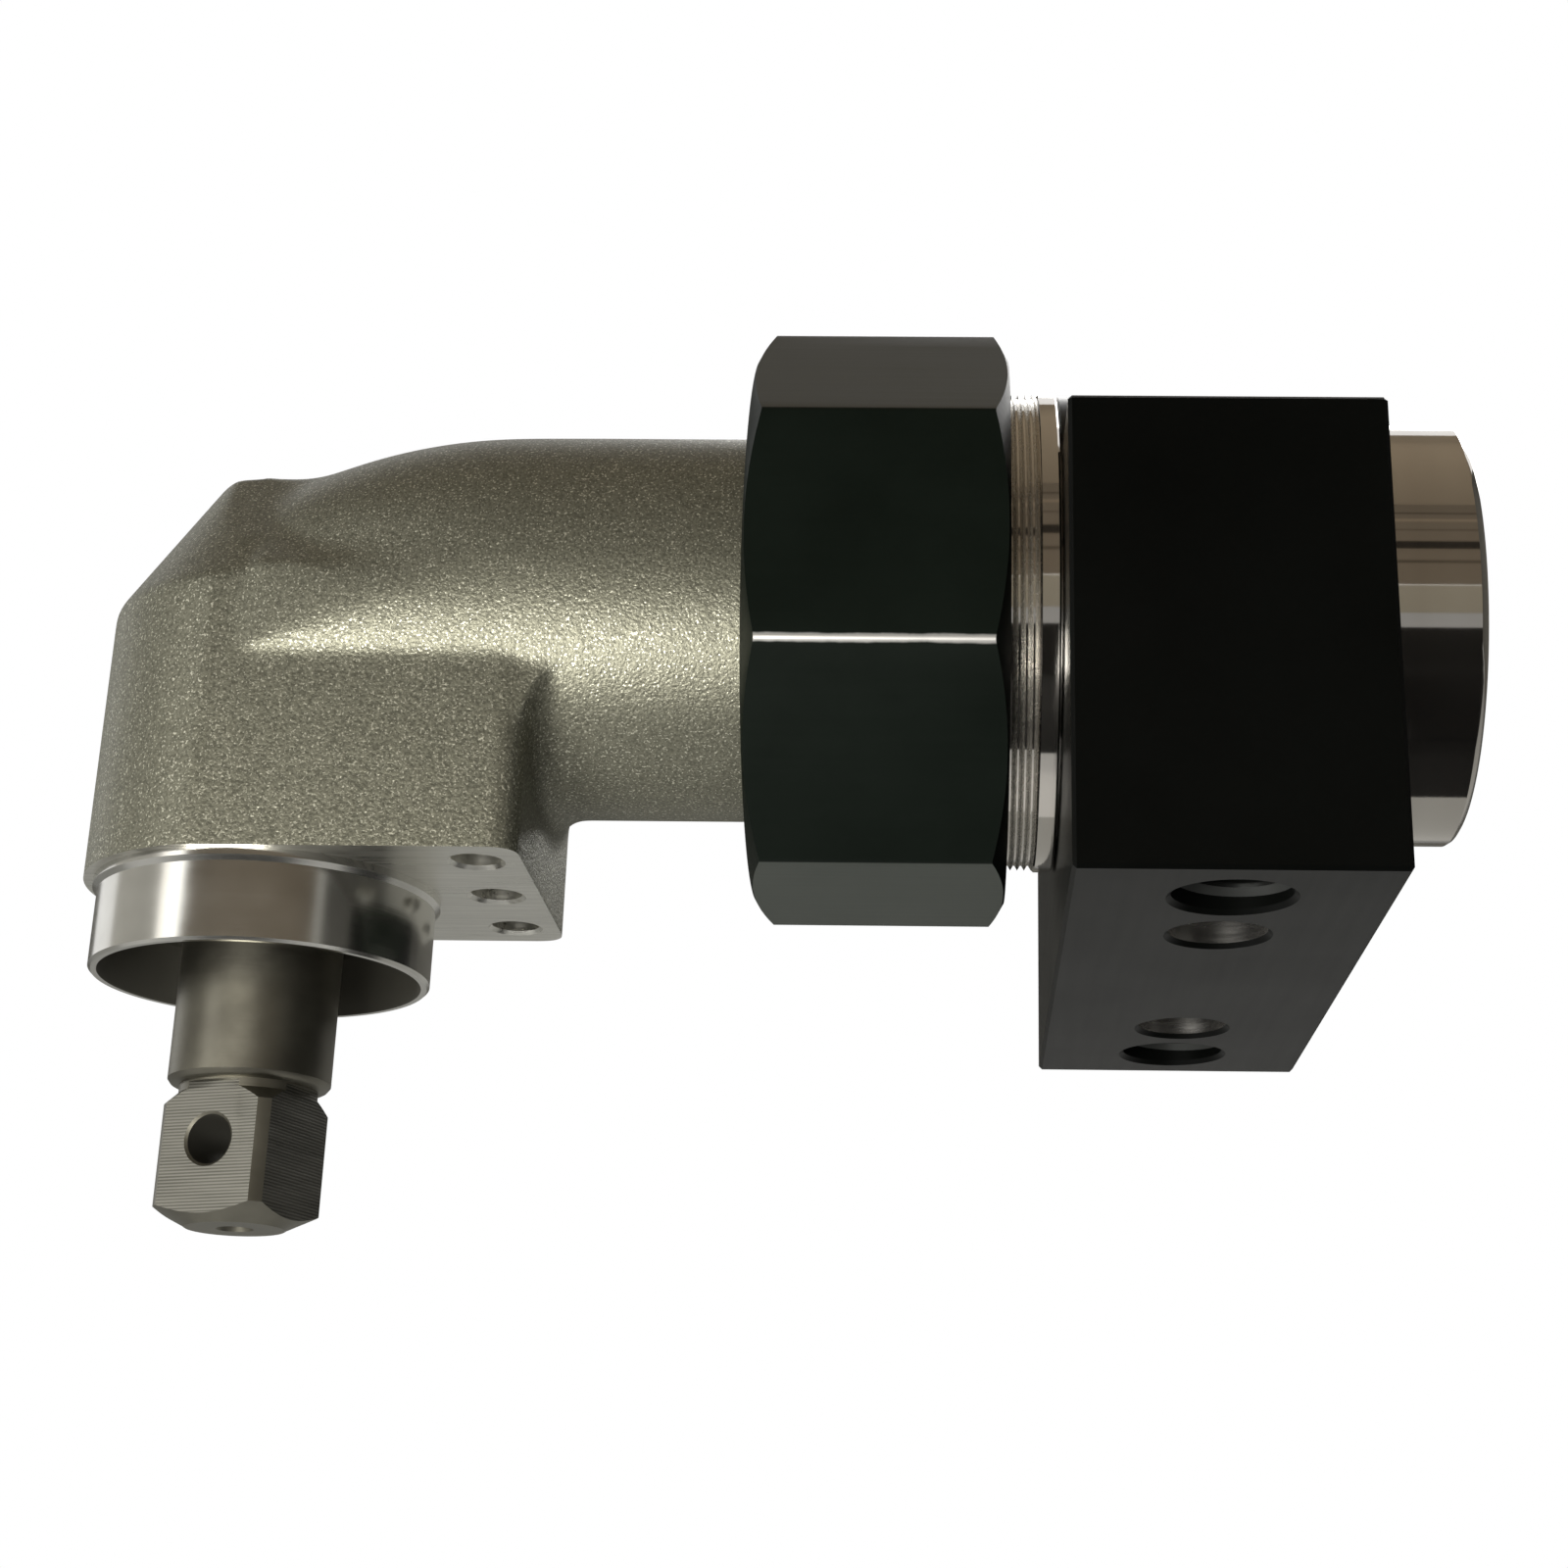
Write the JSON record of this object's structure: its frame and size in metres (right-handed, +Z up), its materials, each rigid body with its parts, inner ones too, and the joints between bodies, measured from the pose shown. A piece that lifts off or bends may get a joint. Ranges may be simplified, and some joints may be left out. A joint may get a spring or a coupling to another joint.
{
  "type": "nutrunner angle head",
  "caption": "Right-angle nutrunner head with a square drive, clamped by an octagonal union nut to a threaded sleeve in a screwed and dowelled mounting block",
  "frame": {"origin": "centre of the mounting block's underside", "axes": "+X along the tool from the head to the motor end, +Z up, out of the block's top, so the square drive points to -Z; -Y faces the camera of the picture"},
  "size_m": [0.1454, 0.09, 0.0956],
  "materials": {
    "cast_steel": "shot-blasted cast steel, warm grey",
    "black_oxide_block": "black oxide, satin",
    "black_oxide_nut": "black oxide, worn at the corners",
    "polished_steel": "polished",
    "satin_steel": "ground, satin",
    "turned_steel": "fine turned",
    "cage_bronze": "dull bronze",
    "seal_rubber": "matt"
  },
  "bodies": {
    "mount": {"mounting_block": "black_oxide_block", "coupling_sleeve": "polished_steel"},
    "clamp_nut": {"union_nut": "black_oxide_nut"},
    "head": {"head_casing": "cast_steel", "bearing_retainer": "turned_steel", "spindle_seal": "seal_rubber", "lower_outer_race": "turned_steel", "needle_cup": "turned_steel", "front_outer_race": "turned_steel", "rear_outer_race": "turned_steel", "outer_spacer": "turned_steel", "bearing_lock_ring": "turned_steel", "neck_seal": "seal_rubber"},
    "drive": {"pinion_shaft": "satin_steel", "front_inner_race": "turned_steel", "rear_inner_race": "turned_steel", "inner_spacer": "turned_steel", "shaft_nut": "turned_steel", "drive_coupling": "satin_steel", "coupling_pin": "turned_steel"},
    "spindle": {"output_spindle": "satin_steel", "bevel_wheel": "satin_steel", "wheel_key": "turned_steel", "wheel_snap_ring": "turned_steel", "lower_inner_race": "turned_steel"},
    "front_balls": {"front_ball_cage": "cage_bronze"},
    "rear_balls": {"rear_ball_cage": "cage_bronze"},
    "lower_balls": {"lower_ball_cage": "cage_bronze"},
    "needles": {"needle_cage": "turned_steel"}
  },
  "joints": [
    {"name": "head_swivel", "type": "hinge", "parent": "mount", "child": "head", "pos_m": [-0.09925, -0.0095, 0.037], "axis": [1, 0, 0], "continuous": true},
    {"name": "nut_turn", "type": "hinge", "parent": "mount", "child": "clamp_nut", "pos_m": [-0.09925, -0.0095, 0.037], "axis": [-1, 0, 0], "range_deg": [0, 360]},
    {"name": "drive_turn", "type": "hinge", "parent": "head", "child": "drive", "pos_m": [-0.09925, -0.0095, 0.037], "axis": [1, 0, 0], "continuous": true},
    {"name": "spindle_turn", "type": "hinge", "parent": "head", "child": "spindle", "pos_m": [-0.09925, -0.0095, 0.037], "axis": [0, 0, 1], "continuous": true},
    {"name": "front_balls_turn", "type": "hinge", "parent": "head", "child": "front_balls", "pos_m": [-0.09925, -0.0095, 0.037], "axis": [1, 0, 0], "continuous": true},
    {"name": "rear_balls_turn", "type": "hinge", "parent": "head", "child": "rear_balls", "pos_m": [-0.09925, -0.0095, 0.037], "axis": [1, 0, 0], "continuous": true},
    {"name": "lower_balls_turn", "type": "hinge", "parent": "head", "child": "lower_balls", "pos_m": [-0.09925, -0.0095, 0.037], "axis": [0, 0, 1], "continuous": true},
    {"name": "needles_turn", "type": "hinge", "parent": "head", "child": "needles", "pos_m": [-0.09925, -0.0095, 0.037], "axis": [0, 0, 1], "continuous": true}
  ],
  "couplings": [
    {"joint": "spindle_turn", "follows": "drive_turn", "ratio": 0.95238},
    {"joint": "front_balls_turn", "follows": "drive_turn", "ratio": 0.407},
    {"joint": "rear_balls_turn", "follows": "drive_turn", "ratio": 0.407},
    {"joint": "lower_balls_turn", "follows": "drive_turn", "ratio": 0.4066},
    {"joint": "needles_turn", "follows": "drive_turn", "ratio": 0.399}
  ]
}
